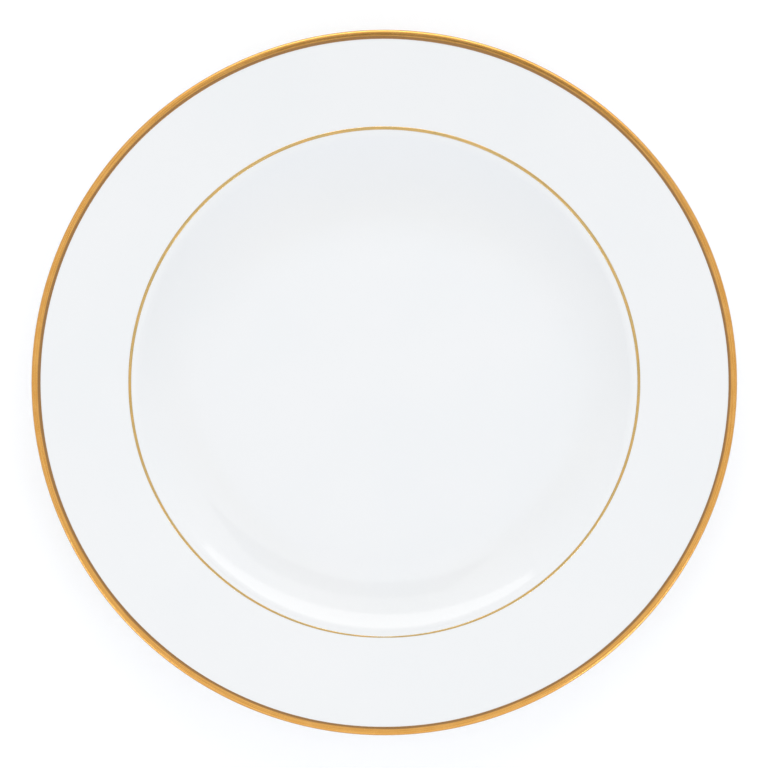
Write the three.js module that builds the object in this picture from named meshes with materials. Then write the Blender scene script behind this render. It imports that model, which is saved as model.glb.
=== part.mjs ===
// A china dinner plate: a fired porcelain body on a foot ring, its two coats of glaze, the gold band
// over its lip and the thin gold line on the shoulder between well and rim.
// Millimetres, +Z up. The origin is the centre of the circle that the foot ring stands on.
// Every piece is turned about the plate's axis, so each one is a section line spun round +Z.

import * as THREE from 'three'

// Driving dimensions.
const plateDiameter = 270       // over the gold on the lip
const plateHeight = 23          // table to the top of the gold
const lineDiameter = 196        // middle of the thin gold line
const lineWidth = 1.2
const bandWidth = 3.4           // of gold on the upper face, in from the plate's edge
const bandBelow = 0.9           // of gold on the underside, in from the edge's round

const floorHeight = 7           // eating surface of the well, above the table
const recessHeight = 3          // underside inside the foot ring, above the table
const wallThickness = 3.9       // of the well's wall, glaze and all
const edgeRadius = 1.1          // of the lip's round outer edge, half its thickness
const crownRadius = 6           // of the softer curve over the lip, from the rim to that edge
const crownFall = 12            // degrees that the crown slopes down where it meets the edge
const coveRadius = 44           // of the curve from the well's floor up its wall
const coveSweep = 36            // degrees that the wall turns through, which is its steepest slope
const shoulderRadius = 7        // of the curve from the wall out to the rim
const shoulderBeyondLine = 0.25 // the shoulder curve's centre lies this far outside the gold line

const footDiameter = 160.4      // middle of the ring that the plate stands on
const footFace = 2.4            // width of the ring's flat standing face
const footCorner = 0.8          // radius of the ring's two rounded edges
const footFillet = 1.6          // from the ring's inner side into the underside
const footRoot = 2.8            // how far out the ring's outer side flares into the wall
const flankTop = 2.6            // where the ring's outer side begins to flare
const dryHeight = 1.1           // the lowest part of the ring is wiped clean of glaze

const glazeThickness = 0.25
const goldThickness = 0.05
const fitGap = 0.02             // between one skin and the next

// Facets.
const turns = 64
const steps = { edge: 6, crown: 3, cove: 6, coveUnder: 4, shoulder: 3, fillet: 3, corner: 3 }

const finishes = {
  biscuit: { color: 0xe9e4da, roughness: 0.7, metalness: 0 },
  glaze: { color: 0xf3f5f6, roughness: 0.12, metalness: 0 },
  gold: { color: 0xe2a75a, roughness: 0.25, metalness: 1 }
}

const rad = THREE.MathUtils.degToRad
const quarterTurn = Math.PI / 2

// A point at a distance from a centre, at an angle in radians measured from the +X side of the section.
function around (centre, radius, angle) {
  return new THREE.Vector2(Math.cos(angle), Math.sin(angle)).multiplyScalar(radius).add(centre)
}

// Points along a circular arc, from one angle to another.
function arc (centre, radius, from, to, count) {
  const clockwise = to < from
  return new THREE.EllipseCurve(centre.x, centre.y, radius, radius, from, to, clockwise).getPoints(count)
}

// Points along an arc between two slopes of its surface. The radius is positive on a crest, which has
// its centre below it, and negative in a hollow.
function sloped (centre, radius, from, to, count) {
  const side = Math.sign(radius) * quarterTurn
  return arc(centre, Math.abs(radius), from + side, to + side, count)
}

// Points along a curve that leaves one straight line and joins another at a shared corner.
function fillet (from, corner, to) {
  return new THREE.QuadraticBezierCurve(from, corner, to).getPoints(steps.fillet)
}

// The plate's section, in radius and height. These are the glazed plate's outer surfaces, before gold.
const goldRise = fitGap + goldThickness
const fall = quarterTurn - rad(crownFall)
const edge = new THREE.Vector2(
  plateDiameter / 2 - goldRise - edgeRadius,
  plateHeight - goldRise - crownRadius + (crownRadius - edgeRadius) * Math.sin(fall)
)
const crown = around(edge, edgeRadius - crownRadius, fall)
const sweep = rad(coveSweep)
const shoulder = new THREE.Vector2(
  lineDiameter / 2 + shoulderBeyondLine,
  floorHeight + coveRadius - (coveRadius + shoulderRadius) * Math.cos(sweep)
)
const cove = new THREE.Vector2(
  shoulder.x - (coveRadius + shoulderRadius) * Math.sin(sweep),
  floorHeight + coveRadius
)

// The rim's two faces are straight. The upper one touches the curves of the shoulder and the crown, and
// the lower one those of the shoulder's underside and the edge.
const underShoulderRadius = shoulderRadius - wallThickness
const upperSpan = crown.clone().sub(shoulder)
const lowerSpan = edge.clone().sub(shoulder)
const rimSlope = upperSpan.angle() - Math.asin((shoulderRadius - crownRadius) / upperSpan.length())
const underSlope = lowerSpan.angle() - Math.asin((underShoulderRadius + edgeRadius) / lowerSpan.length())

const footInner = (footDiameter - footFace) / 2 - footCorner
const footOuter = (footDiameter + footFace) / 2 + footCorner

// Section lines run so that the plate's solid is always on their left.

// Underside inside the foot ring: from the axis out, and down the ring's inner side to a height.
function recessLine (endHeight) {
  const corner = new THREE.Vector2(footInner, recessHeight)
  return [
    new THREE.Vector2(0, recessHeight),
    ...fillet(
      new THREE.Vector2(footInner - footFillet, recessHeight),
      corner,
      new THREE.Vector2(footInner, recessHeight - footFillet)
    ),
    new THREE.Vector2(footInner, endHeight)
  ]
}

// The unglazed foot: down the inner side, across the standing face and up the outer side.
function footLine (height) {
  const inner = new THREE.Vector2(footInner + footCorner, footCorner)
  const outer = new THREE.Vector2(footOuter - footCorner, footCorner)
  return [
    new THREE.Vector2(footInner, height),
    ...arc(inner, footCorner, -2 * quarterTurn, -quarterTurn, steps.corner),
    ...arc(outer, footCorner, -quarterTurn, 0, steps.corner),
    new THREE.Vector2(footOuter, height)
  ]
}

// The lip, from the rim's underside round the edge and over the crown.
const lipLine = [
  ...arc(edge, edgeRadius, underSlope - quarterTurn, fall, steps.edge),
  ...arc(crown, crownRadius, fall, rimSlope + quarterTurn, steps.crown).slice(1)
]

// From a height on the foot ring's outer side, under the wall and rim, round the lip and in to the axis.
function upperLine (startHeight) {
  const underCoveRadius = coveRadius + wallThickness
  const rootSlope = Math.asin((footOuter + footRoot - cove.x) / underCoveRadius)
  const root = around(cove, underCoveRadius, rootSlope - quarterTurn)
  const corner = new THREE.Vector2(footOuter, root.y - footRoot * Math.tan(rootSlope))
  return [
    new THREE.Vector2(footOuter, startHeight),
    ...fillet(new THREE.Vector2(footOuter, flankTop), corner, root),
    ...sloped(cove, -underCoveRadius, rootSlope, sweep, steps.coveUnder).slice(1),
    ...sloped(shoulder, underShoulderRadius, sweep, underSlope, steps.shoulder).slice(1),
    ...lipLine,
    ...sloped(shoulder, shoulderRadius, rimSlope, sweep, steps.shoulder),
    ...sloped(cove, -coveRadius, sweep, 0, steps.cove).slice(1),
    new THREE.Vector2(0, floorHeight)
  ]
}

// Height of the rim's upper face at a radius.
function rimHeight (radius) {
  const rimEnd = lipLine.at(-1)
  return rimEnd.y - (rimEnd.x - radius) * Math.tan(rimSlope)
}

// Moves a section line into the solid on its left, or off it where the depth is negative.
// Neighbouring stretches are mitred, so the whole line stays parallel to itself.
function shifted (line, depth) {
  const last = line.length - 1
  return line.map((point, i) => {
    const arriving = (i > 0 ? point.clone().sub(line[i - 1]) : line[1].clone().sub(point)).normalize()
    const leaving = (i < last ? line[i + 1].clone().sub(point) : arriving.clone()).normalize()
    const along = arriving.clone().add(leaving).divideScalar(1 + arriving.dot(leaving))
    return new THREE.Vector2(point.x - along.y * depth, point.y + along.x * depth)
  })
}

// The section of a skin between two depths on a line. It starts and ends on the axis, or closes on itself.
function skin (line, outerDepth, innerDepth) {
  const outer = shifted(line, outerDepth)
  const inner = shifted(line, innerDepth).reverse()
  if (line.at(-1).x === 0) return [...inner, ...outer]
  if (line[0].x === 0) return [...outer, ...inner]
  return [...outer, ...inner, outer[0]]
}

function piece (name, section, finish) {
  const geometry = new THREE.LatheGeometry(section, turns).rotateX(quarterTurn)
  const mesh = new THREE.Mesh(geometry, new THREE.MeshStandardMaterial(finish))
  mesh.name = name
  return mesh
}

// The fired body fills the section up to the glaze, and comes out to the surface at the foot.
function porcelainBody () {
  const depth = glazeThickness + fitGap
  const dryEdge = dryHeight - fitGap
  const section = [
    ...shifted(recessLine(dryEdge), depth),
    ...footLine(dryEdge),
    ...shifted(upperLine(dryEdge), depth)
  ]
  return piece('porcelain_body', section, finishes.biscuit)
}

function glazeCoat () {
  return piece('glaze_coat', skin(upperLine(dryHeight), 0, glazeThickness), finishes.glaze)
}

function footRecessGlaze () {
  return piece('foot_recess_glaze', skin(recessLine(dryHeight), 0, glazeThickness), finishes.glaze)
}

// Gold from the upper face, round the lip and a little way under it.
function goldRimBand () {
  const below = lipLine[0].clone()
  below.sub(new THREE.Vector2(Math.cos(underSlope), Math.sin(underSlope)).multiplyScalar(bandBelow))
  const inner = plateDiameter / 2 - bandWidth
  const line = [below, ...lipLine, new THREE.Vector2(inner, rimHeight(inner))]
  return piece('gold_rim_band', skin(line, -goldRise, -fitGap), finishes.gold)
}

function goldShoulderLine () {
  const ends = [(lineDiameter + lineWidth) / 2, (lineDiameter - lineWidth) / 2]
  const line = ends.map(radius => new THREE.Vector2(radius, rimHeight(radius)))
  return piece('gold_shoulder_line', skin(line, -goldRise, -fitGap), finishes.gold)
}

const plate = new THREE.Group()
plate.add(porcelainBody(), glazeCoat(), footRecessGlaze(), goldRimBand(), goldShoulderLine())

export default plate
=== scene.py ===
# %% [markdown]
# # A gold-banded china dinner plate
#
# A china plate is one fired piece: a porcelain body, a skin of glaze over nearly all of it, and gold
# that was brushed on last and fired at a low heat. The CAD frame holds each of those as a solid with
# flat facets. This lesson turns the same sections again at a fine pitch and gives each its finish.
# Everything is in metres, in the plate's own frame: +Z up, with the origin under the foot ring.

import math

import bmesh
import bpy
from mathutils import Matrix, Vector


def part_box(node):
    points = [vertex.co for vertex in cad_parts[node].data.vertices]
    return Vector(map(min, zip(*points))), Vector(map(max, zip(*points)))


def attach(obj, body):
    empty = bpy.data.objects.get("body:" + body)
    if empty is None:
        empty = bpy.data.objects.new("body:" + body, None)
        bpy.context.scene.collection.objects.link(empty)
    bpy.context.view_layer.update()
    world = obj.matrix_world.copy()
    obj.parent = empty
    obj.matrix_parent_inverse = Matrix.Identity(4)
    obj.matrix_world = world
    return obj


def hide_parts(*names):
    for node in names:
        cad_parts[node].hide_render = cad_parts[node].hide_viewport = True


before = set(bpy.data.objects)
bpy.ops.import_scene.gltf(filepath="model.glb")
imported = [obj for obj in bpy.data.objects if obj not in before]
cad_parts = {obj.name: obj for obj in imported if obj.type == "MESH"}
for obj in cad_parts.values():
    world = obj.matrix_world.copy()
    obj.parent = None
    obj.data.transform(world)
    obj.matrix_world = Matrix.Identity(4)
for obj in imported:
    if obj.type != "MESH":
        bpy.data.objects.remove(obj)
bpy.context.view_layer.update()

# %% [markdown]
# ## The section in numbers
#
# The plate is round, so its whole shape is one section, a line of straight runs and arcs. What the
# frame's boxes can tell is read from them, so the fine pieces can't drift from the solids that they
# stand for. How deep the well is and how its curves run can't be read from a box, so those sizes are
# named here, as a maker would cut them into a turning template.

# %% Sizes of the section
MM = 0.001
QUARTER = math.pi / 2

gold_gap = 0.02 * MM
gold_depth = 0.05 * MM
gold_rise = gold_gap + gold_depth
glaze_depth = 0.25 * MM
body_depth = 0.27 * MM

rim_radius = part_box("gold_rim_band")[1].x - gold_rise
line_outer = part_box("gold_shoulder_line")[1].x
foot_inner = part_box("foot_recess_glaze")[1].x - glaze_depth
recess_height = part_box("foot_recess_glaze")[1].z - glaze_depth
dry_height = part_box("glaze_coat")[0].z

plate_height = 23 * MM
floor_height = 7 * MM
wall = 3.9 * MM
edge_radius = 1.1 * MM
crown_radius = 6 * MM
cove_radius = 44 * MM
shoulder_radius = 7 * MM
shoulder_beyond_line = 0.25 * MM
line_width = 1.2 * MM
band_width = 3.4 * MM
band_below = 0.9 * MM
foot_width = 4 * MM
foot_corner = 0.8 * MM
foot_fillet = 1.6 * MM
foot_flare = 2.8 * MM
flank_top = 2.6 * MM
crown_fall = math.radians(12)
sweep = math.radians(36)

foot_outer = foot_inner + foot_width
print(f"lip at {rim_radius / MM:.2f} mm, foot {foot_inner / MM:.2f} to {foot_outer / MM:.2f} mm")


# %% [markdown]
# The arcs meet tangent to tangent, which is what makes turned ware look soft: the well's cove turns
# into the shoulder, the shoulder runs into the straight rim, and the rim rolls over a crown into the
# lip's round edge. So only the centres and the slopes of the straight runs have to be worked out.

# %% Centres and slopes
def polar(centre, radius, angle):
    """The point at a distance and an angle from a centre, in the section's plane."""
    return centre + radius * Vector((math.cos(angle), 0, math.sin(angle)))


def slope_between(start, end, drop):
    """Slope of a straight run that touches an arc round each of two centres. The drop is how much
    nearer to the run the second centre is, across the run."""
    span = end - start
    return math.atan2(span.z, span.x) - math.asin(drop / span.length)


fall = QUARTER - crown_fall
edge = Vector((
    rim_radius - edge_radius,
    0,
    plate_height - gold_rise - crown_radius + (crown_radius - edge_radius) * math.sin(fall),
))
crown = polar(edge, edge_radius - crown_radius, fall)
shoulder = Vector((
    line_outer - line_width / 2 + shoulder_beyond_line,
    0,
    floor_height + cove_radius - (cove_radius + shoulder_radius) * math.cos(sweep),
))
cove = Vector((
    shoulder.x - (cove_radius + shoulder_radius) * math.sin(sweep),
    0,
    floor_height + cove_radius,
))
rim_slope = slope_between(shoulder, crown, shoulder_radius - crown_radius)
under_slope = slope_between(shoulder, edge, shoulder_radius - wall + edge_radius)
root_slope = math.asin((foot_outer + foot_flare - cove.x) / (cove_radius + wall))
print(f"rim slope {math.degrees(rim_slope):.2f}, under it {math.degrees(under_slope):.2f} degrees")

# %% [markdown]
# ## A pen and a lathe
#
# A curve with a Screw modifier would turn this ware too, but then its length and its seams live in a
# modifier. Mesh operators leave a plain mesh: one vertex is the pen, extruded for a straight run and
# spun for an arc, a vertex bevel rounds a corner, and the whole line is spun once round the axis.

# %% The pen
class Pen:
    """Draws a section line from one vertex."""

    def __init__(self, radius, height):
        self.mesh = bmesh.new()
        self.tip = self.mesh.verts.new((radius, 0, height))

    def to(self, point, stretches=1):
        """A straight run. Returns the vertex at its end."""
        start = self.tip.co.copy()
        for i in range(stretches):
            self.tip = bmesh.ops.extrude_vert_indiv(self.mesh, verts=[self.tip])["verts"][0]
            self.tip.co = start.lerp(point, (i + 1) / stretches)
        return self.tip

    def at(self, radius, height, stretches=1):
        return self.to(Vector((radius, 0, height)), stretches)

    def swing(self, centre, angle, steps):
        """An arc round a centre, where a positive angle turns from +X towards +Z."""
        spun = bmesh.ops.spin(
            self.mesh, geom=[self.tip], cent=centre, axis=(0, -1, 0), angle=angle, steps=steps
        )
        self.tip = next(part for part in spun["geom_last"] if isinstance(part, bmesh.types.BMVert))

    def round_off(self, corner, offset, segments):
        bmesh.ops.bevel(
            self.mesh,
            geom=[corner],
            offset=offset,
            affect="VERTICES",
            segments=segments,
            profile=0.5,
            material=-1,
        )


# %% [markdown]
# A full spin brings the section back onto itself, so it merges there. Points on the axis are spun
# into a pile, which is merged before the normals are set. A skin's thickness comes after that.

# %% The lathe
TURNS = 288
MERGE = 1e-7


def turn(pen):
    """Spins the pen's line once round the plate's axis and closes its seams."""
    bmesh.ops.spin(
        pen.mesh,
        geom=pen.mesh.verts[:] + pen.mesh.edges[:],
        cent=(0, 0, 0),
        axis=(0, 0, 1),
        angle=2 * math.pi,
        steps=TURNS,
        use_merge=True,
    )
    bmesh.ops.remove_doubles(pen.mesh, verts=pen.mesh.verts[:], dist=MERGE)
    bmesh.ops.recalc_face_normals(pen.mesh, faces=pen.mesh.faces[:])
    return pen.mesh


def skin(mesh, depth, up):
    """Gives an open surface its thickness, on the side away from the air."""
    level = max(mesh.faces, key=lambda face: abs(face.normal.z))
    if (level.normal.z > 0) != up:
        bmesh.ops.reverse_faces(mesh, faces=mesh.faces[:])
    bmesh.ops.solidify(mesh, geom=mesh.faces[:], thickness=depth)


def finish_piece(name, mesh, cad_node, material):
    """Makes the turned mesh a piece that stands for a CAD node."""
    data = bpy.data.meshes.new(name)
    mesh.to_mesh(data)
    mesh.free()
    data.shade_smooth()
    data.materials.append(material)
    piece = bpy.data.objects.new(name, data)
    bpy.context.scene.collection.objects.link(piece)
    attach(piece, "root")
    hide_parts(cad_node)
    low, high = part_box(cad_node)
    spans = [[point.co[i] for point in data.vertices] for i in range(3)]
    beyond = max(max(max(spans[i]) - high[i], low[i] - min(spans[i])) for i in range(3))
    print(f"{name}: {len(data.polygons)} faces, {beyond / MM:+.3f} mm past the box of {cad_node}")


# %% [markdown]
# ## Helpers for finishes
#
# Every finish is one Principled shader fed by procedural nodes that read Object coordinates, so a
# pattern has the plate's own scale in metres and stays put however the plate is seen.

# %% Nodes
def finish(name, **settings):
    """A material and its shader. A setting names a socket, with _ for each space."""
    material = bpy.data.materials.new(name)
    material.use_nodes = True
    shader = material.node_tree.nodes["Principled BSDF"]
    for socket, value in settings.items():
        shader.inputs[socket.replace("_", " ")].default_value = value
    return material, shader


def connect(material, shader, **sources):
    """Feeds a shader's sockets, named as in finish, and says what the material is made of."""
    for socket, source in sources.items():
        material.node_tree.links.new(source, shader.inputs[socket.replace("_", " ")])
    print(f"{material.name}: {len(material.node_tree.nodes)} nodes")


def node(tree, kind, inputs, output=0, **settings):
    """Adds a node, sets or links its inputs, and returns one of its outputs."""
    added = tree.nodes.new("ShaderNode" + kind)
    for key, value in settings.items():
        setattr(added, key, value)
    for key, value in inputs.items():
        if isinstance(value, bpy.types.NodeSocket):
            tree.links.new(value, added.inputs[key])
        else:
            added.inputs[key].default_value = value
    return added.outputs[output]


def noise(tree, place, scale, detail=2.0):
    return node(tree, "TexNoise", {"Vector": place, "Scale": scale, "Detail": detail})


def mixed(tree, factor, first, second):
    """A colour between two, each either a colour or a socket."""
    return node(tree, "Mix", {0: factor, 6: first, 7: second}, 2, data_type="RGBA")


def ramp(tree, value, start, end, low=0.0, high=1.0):
    """Turns a value's range from start to end into one from low to high, with soft ends."""
    inputs = {"Value": value, 1: start, 2: end, 3: low, 4: high}
    return node(tree, "MapRange", inputs, interpolation_type="SMOOTHSTEP")


def bump(tree, height, distance, normal=None):
    inputs = {"Height": height, "Distance": distance, "Strength": 1.0}
    if normal:
        inputs["Normal"] = normal
    return node(tree, "Bump", inputs)


# %% [markdown]
# ## Clear white glaze
#
# The glaze is a quarter of a millimetre of glass. It lies nearly level, but never quite: it keeps a
# slow waviness from the body under it and a fine orange peel from the firing, and where it runs
# thicker it looks a little cooler. Real glaze is clear over a white body. A thin clear shell over a
# second shell renders slowly and exports badly, so the colour of the two together is put in the
# glaze, and its gloss comes from the shader.

# %% Glaze finish
GLAZE_SLOT = "clear_white_glaze"
glaze, shader = finish(GLAZE_SLOT, Roughness=0.08, IOR=1.52)
tree = glaze.node_tree
place = node(tree, "TexCoord", {}, "Object")

thin_white = (0.800, 0.800, 0.795, 1)
pooled_white = (0.790, 0.794, 0.791, 1)
wave_height = 0.12 * MM
peel_height = 0.004 * MM

pooled = ramp(tree, noise(tree, place, scale=22.0), 0.35, 0.7)
tint = mixed(tree, pooled, thin_white, pooled_white)
gloss = ramp(tree, noise(tree, place, scale=60.0), 0.3, 0.7, low=0.06, high=0.1)
waves = bump(tree, noise(tree, place, scale=28.0), wave_height)
peel = bump(tree, noise(tree, place, scale=700.0, detail=1.0), peel_height, waves)
connect(glaze, shader, Base_Color=tint, Roughness=gloss, Normal=peel)

# %% [markdown]
# ## Biscuit porcelain
#
# The only fired body that shows is the foot ring's standing face, which is wiped clean of glaze so
# that it won't stick to the kiln shelf. It is matte, warm beside the glaze and finely sandy, and its
# very edge picks up a little grey from tables and shelves.

# %% Biscuit finish
BISCUIT_SLOT = "biscuit_porcelain"
biscuit, shader = finish(BISCUIT_SLOT, Roughness=0.75)
tree = biscuit.node_tree
place = node(tree, "TexCoord", {}, "Object")

warm_clay = (0.70, 0.66, 0.58, 1)
pale_clay = (0.78, 0.75, 0.69, 1)
shelf_grey = (0.36, 0.34, 0.31, 1)
scuff_height = 0.25 * MM
grain_height = 0.03 * MM

mottle = mixed(tree, noise(tree, place, scale=90.0, detail=4.0), warm_clay, pale_clay)
height = node(tree, "SeparateXYZ", {0: place}, "Z")
scuffs = ramp(tree, height, 0.0, scuff_height, low=0.6, high=0.0)
grit = ramp(tree, noise(tree, place, scale=1500.0, detail=3.0), 0.55, 0.75, low=0.0, high=0.8)
grey_grit = node(tree, "Math", {0: scuffs, 1: grit}, operation="MULTIPLY")
sandy = mixed(tree, grey_grit, mottle, shelf_grey)
grain = bump(tree, noise(tree, place, scale=3500.0, detail=4.0), grain_height)
connect(biscuit, shader, Base_Color=sandy, Normal=grain)

# %% [markdown]
# ## Burnished gold
#
# The gold is brushed on as the plate turns on a banding wheel, so its streaks run round it. They are
# noise that varies fast across the band and slowly along it: the direction from the axis, which has
# no seam, is scaled a little, and the distance over the band a lot. Brushed gold also thins at its
# margin, where it fires to a brown outline. The very edge of the lip is painted a darker gold, which
# is a painted dark reflection of the shaded floor that the rounded edge mirrors.

# %% Gold finish
GOLD_SLOT = "burnished_gold"

blotch_gold = (0.88, 0.49, 0.16, 1)
# painted dark reflection: the darker gold painted on the lip's outer edge
dark_reflection_gold = (0.50, 0.26, 0.07, 1)
fired_brown = (0.37, 0.20, 0.08, 1)
streaks_per_metre = 9000.0
streak_stretch = 6.0
streak_height = 0.004 * MM
outline_wobble = 0.12 * MM
outline_blur = 0.25 * MM
# where the painted dark reflection on the lip's edge begins and where it is fullest
dark_reflection_start = rim_radius - 0.6 * MM
dark_reflection_end = rim_radius - 0.15 * MM


def gold_finish(name, margin, deep, bright):
    """Gold between two tones, with a brown outline inside the margin's radius."""
    material, shader = finish(name, Metallic=1.0, Roughness=0.2)
    tree = material.node_tree
    place = node(tree, "TexCoord", {}, "Object")
    flat = node(tree, "VectorMath", {0: place, 1: (1, 1, 0)}, operation="MULTIPLY")
    radius = node(tree, "VectorMath", {0: flat}, "Value", operation="LENGTH")
    direction = node(tree, "VectorMath", {0: flat}, operation="NORMALIZE")
    height = node(tree, "SeparateXYZ", {0: place}, "Z")
    across = node(tree, "Math", {0: radius, 1: height}, operation="SUBTRACT")
    fine = node(tree, "Math", {0: across, 1: streaks_per_metre}, operation="MULTIPLY")
    lines = node(tree, "CombineXYZ", {2: fine})
    slow = node(tree, "VectorMath", {0: direction, "Scale": streak_stretch}, operation="SCALE")
    brushed = node(tree, "VectorMath", {0: slow, 1: lines}, operation="ADD")
    streaks = noise(tree, brushed, scale=1.0, detail=3.0)
    blotches = ramp(tree, noise(tree, place, scale=180.0), 0.35, 0.75, low=0.0, high=0.35)

    unsteady = noise(tree, slow, scale=1.0, detail=3.0)
    wobble = ramp(tree, unsteady, 0.2, 0.8, low=-outline_wobble, high=outline_wobble)
    inside = node(tree, "Math", {0: radius, 1: wobble}, operation="ADD")
    outline = ramp(tree, inside, margin - outline_blur, margin + outline_blur, low=1.0, high=0.0)
    # painted dark reflection: darkens the gold towards the lip's outer edge
    dark_reflection = ramp(tree, radius, dark_reflection_start, dark_reflection_end, low=0.0, high=0.8)
    tone = mixed(tree, ramp(tree, streaks, 0.3, 0.7), deep, bright)
    tone = mixed(tree, blotches, tone, blotch_gold)
    tone = mixed(tree, dark_reflection, tone, dark_reflection_gold)
    tone = mixed(tree, outline, tone, fired_brown)
    gloss = ramp(tree, streaks, 0.25, 0.75, low=0.2, high=0.3)
    brush_marks = bump(tree, streaks, streak_height)
    connect(material, shader, Base_Color=tone, Roughness=gloss, Normal=brush_marks)
    return material


# %% [markdown]
# The band is laid on thickly and is a warm red gold, with its brown outline along its inner margin.
# The thin line is one coat, so it is paler, and it has no outline.

# %% Band and line
band_deep = (0.66, 0.315, 0.068, 1)
band_bright = (0.85, 0.455, 0.125, 1)
line_deep = (0.57, 0.395, 0.145, 1)
line_bright = (0.69, 0.495, 0.215, 1)
outline_width = 0.85 * MM
no_margin = 0.0

band_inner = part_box("gold_rim_band")[1].x - band_width
band_gold = gold_finish(GOLD_SLOT, band_inner + outline_width, band_deep, band_bright)
line_gold = gold_finish(GOLD_SLOT + "_line", no_margin, line_deep, line_bright)

# %% [markdown]
# ## Glaze over the plate
#
# One skin runs from the foot ring's outer side, out under the wall and rim, over the lip, and in to
# the middle of the well. The body under it needs the same line a little deeper, so one function
# draws both: a depth moves every run inwards, makes the crests tighter and the hollows wider.

# %% The upper line
def draw_upper(pen, depth):
    """From the foot ring's outer side round to the middle of the well, at a depth in the solid."""
    flank = foot_outer - depth
    hollow = cove_radius + wall - depth
    root = polar(cove, hollow, root_slope - QUARTER)
    pen.at(flank, flank_top)
    corner = pen.at(flank, root.z - (root.x - flank) * math.tan(root_slope))
    pen.to(root)
    pen.swing(cove, sweep - root_slope, steps=10)
    pen.swing(shoulder, under_slope - sweep, steps=6)
    pen.to(polar(edge, edge_radius - depth, under_slope - QUARTER), stretches=6)
    draw_lip(pen)
    pen.to(polar(shoulder, shoulder_radius - depth, rim_slope + QUARTER), stretches=6)
    pen.swing(shoulder, sweep - rim_slope, steps=14)
    pen.swing(cove, -sweep, steps=24)
    pen.at(0, floor_height - depth, stretches=5)
    pen.round_off(corner, corner.co.z - flank_top, segments=6)


def draw_lip(pen):
    """Round the lip's edge and over its crown, at whatever depth the pen is."""
    pen.swing(edge, fall + QUARTER - under_slope, steps=20)
    pen.swing(crown, rim_slope + crown_fall, steps=8)


pen = Pen(foot_outer, dry_height)
draw_upper(pen, 0)
glaze_mesh = turn(pen)
skin(glaze_mesh, glaze_depth, up=True)
finish_piece("glaze_skin", glaze_mesh, "glaze_coat", glaze)


# %% [markdown]
# ## Glaze in the foot recess
#
# Inside the foot ring the glaze is poured and swirled separately, and it ends at the same height on
# the ring. The corner where it climbs the ring is a soft fillet.

# %% The recess line
def draw_recess(pen, depth, end_height):
    """From the axis out under the plate and down the foot ring's inner side, at a depth."""
    corner = pen.at(foot_inner + depth, recess_height + depth, stretches=5)
    pen.at(foot_inner + depth, end_height)
    pen.round_off(corner, foot_fillet, segments=8)


pen = Pen(0, recess_height)
draw_recess(pen, 0, dry_height)
recess_mesh = turn(pen)
skin(recess_mesh, glaze_depth, up=False)
finish_piece("recess_glaze_skin", recess_mesh, "foot_recess_glaze", glaze)

# %% [markdown]
# ## Fired body
#
# The body fills the section under both coats of glaze. At the foot it steps out to the finished
# surface, where the ring was wiped, and the ring stands on a narrow flat face between two rounded
# edges.

# %% The body
dry_edge = dry_height - (body_depth - glaze_depth)
pen = Pen(0, recess_height + body_depth)
draw_recess(pen, body_depth, dry_edge)
pen.at(foot_inner, dry_edge)
pen.at(foot_inner, foot_corner)
pen.swing(Vector((foot_inner + foot_corner, 0, foot_corner)), QUARTER, steps=6)
pen.at(foot_outer - foot_corner, 0, stretches=3)
pen.swing(Vector((foot_outer - foot_corner, 0, foot_corner)), QUARTER, steps=6)
pen.at(foot_outer, dry_edge)
pen.at(foot_outer - body_depth, dry_edge)
draw_upper(pen, body_depth)
finish_piece("fired_body", turn(pen), "porcelain_body", biscuit)


# %% [markdown]
# ## Gold on the lip
#
# The band starts on the upper face, rolls over the lip and ends a little way under it. It is a skin
# a twentieth of a millimetre thick. Its inner margin was drawn by hand against the turning plate, so
# it wanders by about a tenth of a millimetre, and because the plate sat a little off the wheel's
# centre, the band is a quarter of a millimetre wider on one side.

# %% The band
def rim_height(radius):
    """Height of the rim's straight upper face at a radius, without gold."""
    rim_end = polar(crown, crown_radius, rim_slope + QUARTER)
    return rim_end.z - (rim_end.x - radius) * math.tan(rim_slope)


def lifted(point, slope, rise):
    """A point moved off a face that has a slope."""
    return polar(point, rise, slope + QUARTER)


def wander(angle):
    """A hand's drift as the plate turns, between -1 and 1."""
    slow = math.sin(3 * angle + 0.6)
    quick = 0.7 * math.sin(7 * angle + 2.1)
    tremble = 0.4 * math.sin(17 * angle)
    return (slow + quick + tremble) / 2.1


def slide(point, shift):
    """Moves a point of a turned mesh out along the rim's upper face."""
    stretch = 1 + shift / math.hypot(point.co.x, point.co.y)
    point.co.x *= stretch
    point.co.y *= stretch
    point.co.z += shift * math.tan(rim_slope)


under_start = polar(edge, edge_radius + gold_rise, under_slope - QUARTER)
margin = Vector((band_inner, 0, rim_height(band_inner)))
start = polar(under_start, -band_below, under_slope)
pen = Pen(start.x, start.z)
pen.to(under_start, stretches=2)
draw_lip(pen)
margin_end = lifted(margin, rim_slope, gold_rise)
pen.to(margin_end, stretches=2)
band_mesh = turn(pen)

drift = 0.09 * MM
off_centre = 0.12 * MM
heavy_side = math.radians(115)
same_place = 0.01 * MM
moved = 0
for point in band_mesh.verts:
    radius = math.hypot(point.co.x, point.co.y)
    if radius < margin_end.x + same_place and point.co.z > edge.z:
        angle = math.atan2(point.co.y, point.co.x)
        slide(point, drift * wander(angle) - off_centre * (1 + math.cos(angle - heavy_side)))
        moved += 1
print(f"{moved} of {TURNS} margin points drift")
skin(band_mesh, gold_depth, up=True)
finish_piece("lip_gilding", band_mesh, "gold_rim_band", band_gold)

# %% [markdown]
# ## Gold line on the shoulder
#
# The thin line is one pass of a fine brush. It is widest where the brush was full and thins as it
# runs out, half a turn later, so its two edges close in on its middle there.

# %% The line
line_middle = line_outer - line_width / 2
ends = [line_middle + line_width / 2, line_middle - line_width / 2]
outer_end, inner_end = [lifted(Vector((r, 0, rim_height(r))), rim_slope, gold_rise) for r in ends]
pen = Pen(outer_end.x, outer_end.z)
pen.to(inner_end, stretches=4)
line_mesh = turn(pen)

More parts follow.
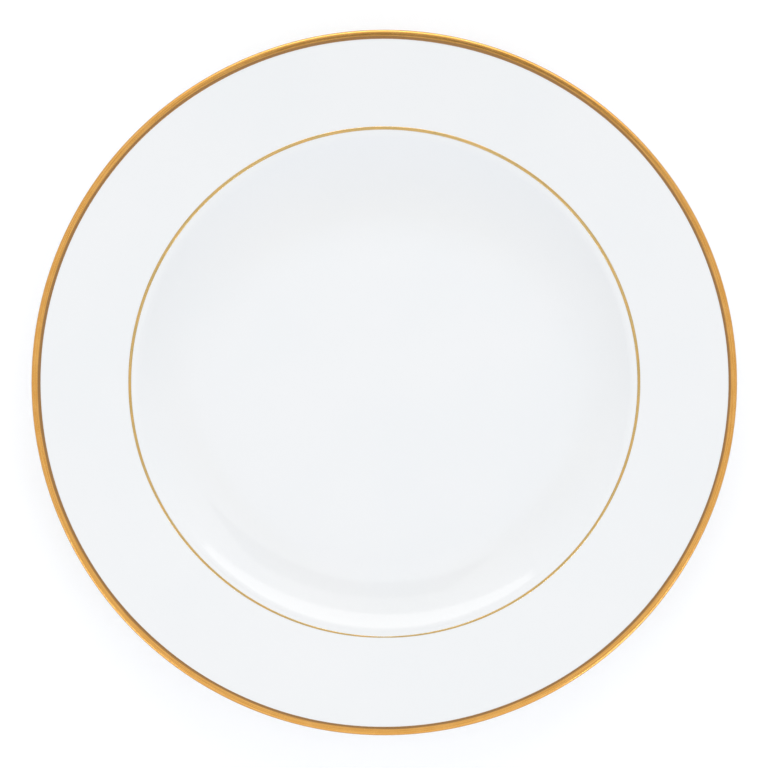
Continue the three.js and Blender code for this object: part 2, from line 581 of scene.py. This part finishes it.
full_brush = 1.0
spent_brush = 0.3
run_out = 0.25
line_drift = 0.03 * MM
middle = (outer_end.x + inner_end.x) / 2
for point in line_mesh.verts:
    angle = math.atan2(point.co.y, point.co.x)
    fullness = (1 + math.sin(angle)) / 2
    width = spent_brush + (full_brush - spent_brush) * fullness ** run_out
    offset = math.hypot(point.co.x, point.co.y) - middle
    slide(point, offset * (width - 1) + line_drift * wander(angle))
skin(line_mesh, gold_depth, up=True)
finish_piece("shoulder_gilding", line_mesh, "gold_shoulder_line", line_gold)

# %% [markdown]
# ## Floor, sky and lights
#
# White china is lit by surroundings that are white too, or it turns grey. A wide pale floor and a
# nearly even white sky, a little brighter in front, do most of the work. One large soft light stands
# low behind the plate and models the well. Gold only looks like gold when it has something bright to
# reflect and something dark: three narrow strips of light give the lip its glints, and a matte dark
# flag hangs overhead.

# %% The floor
def sheet(name, width, depth, place, material):
    """A level sheet in the studio, which isn't part of the plate."""
    mesh = bmesh.new()
    bmesh.ops.create_grid(mesh, x_segments=1, y_segments=1, size=0.5)
    bmesh.ops.scale(mesh, vec=(width, depth, 1), verts=mesh.verts[:])
    bmesh.ops.translate(mesh, vec=place, verts=mesh.verts[:])
    data = bpy.data.meshes.new(name)
    mesh.to_mesh(data)
    mesh.free()
    data.materials.append(material)
    laid = bpy.data.objects.new(name, data)
    bpy.context.scene.collection.objects.link(laid)
    print(f"{name}: {width} by {depth} m, {place[2]} m up")


floor_size = 120.0
pale, _ = finish(
    "pale_floor",
    Base_Color=(0.90, 0.90, 0.90, 1),
    Roughness=1.0,
    Specular_IOR_Level=0.0,
    Emission_Color=(1, 1, 1, 1),
    Emission_Strength=0.12,
)
sheet("floor", width=floor_size, depth=floor_size, place=(0, 0, 0), material=pale)

# %% [markdown]
# The sky is a shade brighter low down than overhead, and a fill in front of the plate lights the back
# of the well. The camera itself sees a plain white behind the floor, so its far edge doesn't show.

# %% The sky
world = bpy.data.worlds.new("white_sky")
bpy.context.scene.world = world
world.use_nodes = True
tree = world.node_tree
sky = tree.nodes["Background"]
sky_white = (0.99, 0.997, 1.0, 1)
overhead = 0.935
horizon = 0.95
front = 0.18
backdrop = 1.05

sky.inputs["Color"].default_value = sky_white
aim = node(tree, "TexCoord", {}, "Generated")
rise = node(tree, "SeparateXYZ", {0: aim}, "Z")
ahead = node(tree, "SeparateXYZ", {0: aim}, "Y")
even_glow = ramp(tree, rise, 0.15, 0.7, low=horizon, high=overhead)
front_fill = ramp(tree, ahead, -0.95, -0.2, low=front, high=0.0)
glow = node(tree, "Math", {0: even_glow, 1: front_fill})
seen = node(tree, "LightPath", {}, "Is Camera Ray")
strength = node(tree, "Mix", {0: seen, 2: glow, 3: backdrop})
tree.links.new(strength, sky.inputs["Strength"])
print(f"sky {horizon} low down, {overhead} overhead, {front} more in front")

# %% [markdown]
# An area light's power is spread over its face, so each softbox here is given by its radiance, which
# is what the gold and the glaze mirror, and its watts follow from its size. The big one is a little
# warm and the strips are cool, which keeps the gold's glints whiter than its body.

# %% The lights
def softbox(name, place, size, radiance, tone):
    """An area light that faces the plate and that the camera doesn't see."""
    light = bpy.data.lights.new(name, "AREA")
    light.shape = "RECTANGLE"
    light.size, light.size_y = size
    light.energy = radiance * math.pi * size[0] * size[1]
    light.color = tone
    holder = bpy.data.objects.new(name, light)
    bpy.context.scene.collection.objects.link(holder)
    holder.location = place
    holder.rotation_euler = (-Vector(place)).to_track_quat("-Z", "Y").to_euler()
    holder.visible_camera = False
    print(name, "gives", round(light.energy, 2), "W")


def around(azimuth, zenith, reach):
    """A place above the floor, at an azimuth from +X and an angle from straight up, in degrees."""
    turn_to, lean = math.radians(azimuth), math.radians(zenith)
    flat = reach * math.sin(lean)
    return (flat * math.cos(turn_to), flat * math.sin(turn_to), reach * math.cos(lean))


warm = (1.0, 0.975, 0.94)
cool = (0.85, 1.0, 1.3)
softbox("back_softbox", around(85, 63, 1.35), (2.0, 0.65), 1.45, warm)
softbox("back_strip", around(92, 76, 1.3), (0.9, 0.12), 6.0, cool)
softbox("right_strip", around(-45, 68, 1.3), (0.6, 0.08), 14.0, cool)
softbox("left_strip", around(-140, 70, 1.3), (0.6, 0.08), 11.0, cool)

# %% The flag
matte, _ = finish("matte_grey", Base_Color=(0.17, 0.17, 0.17, 1), Roughness=1.0)
flag_place = (0.12, 0.42, 0.95)
sheet("flag", width=0.6, depth=0.32, place=flag_place, material=matte)

# %% [markdown]
# ## Camera
#
# The camera looks straight down on the plate from about three plate widths, with a portrait lens, so
# that both gold rings stay round. It hangs a hair to the left of the plate's axis and in front of it.

# %% The camera
lens = 100
sensor = 36
above_lip = 0.8163
aside = -0.1 * MM
forward = -0.57 * MM
camera_data = bpy.data.cameras.new("camera")
camera_data.lens = lens
camera_data.sensor_width = sensor
camera = bpy.data.objects.new("camera", camera_data)
bpy.context.scene.collection.objects.link(camera)
camera.location = (aside, forward, edge.z + above_lip)
bpy.context.scene.camera = camera
bpy.context.scene.view_settings.view_transform = "Standard"
print(f"camera {camera.location.z:.3f} m up, {lens} mm lens")
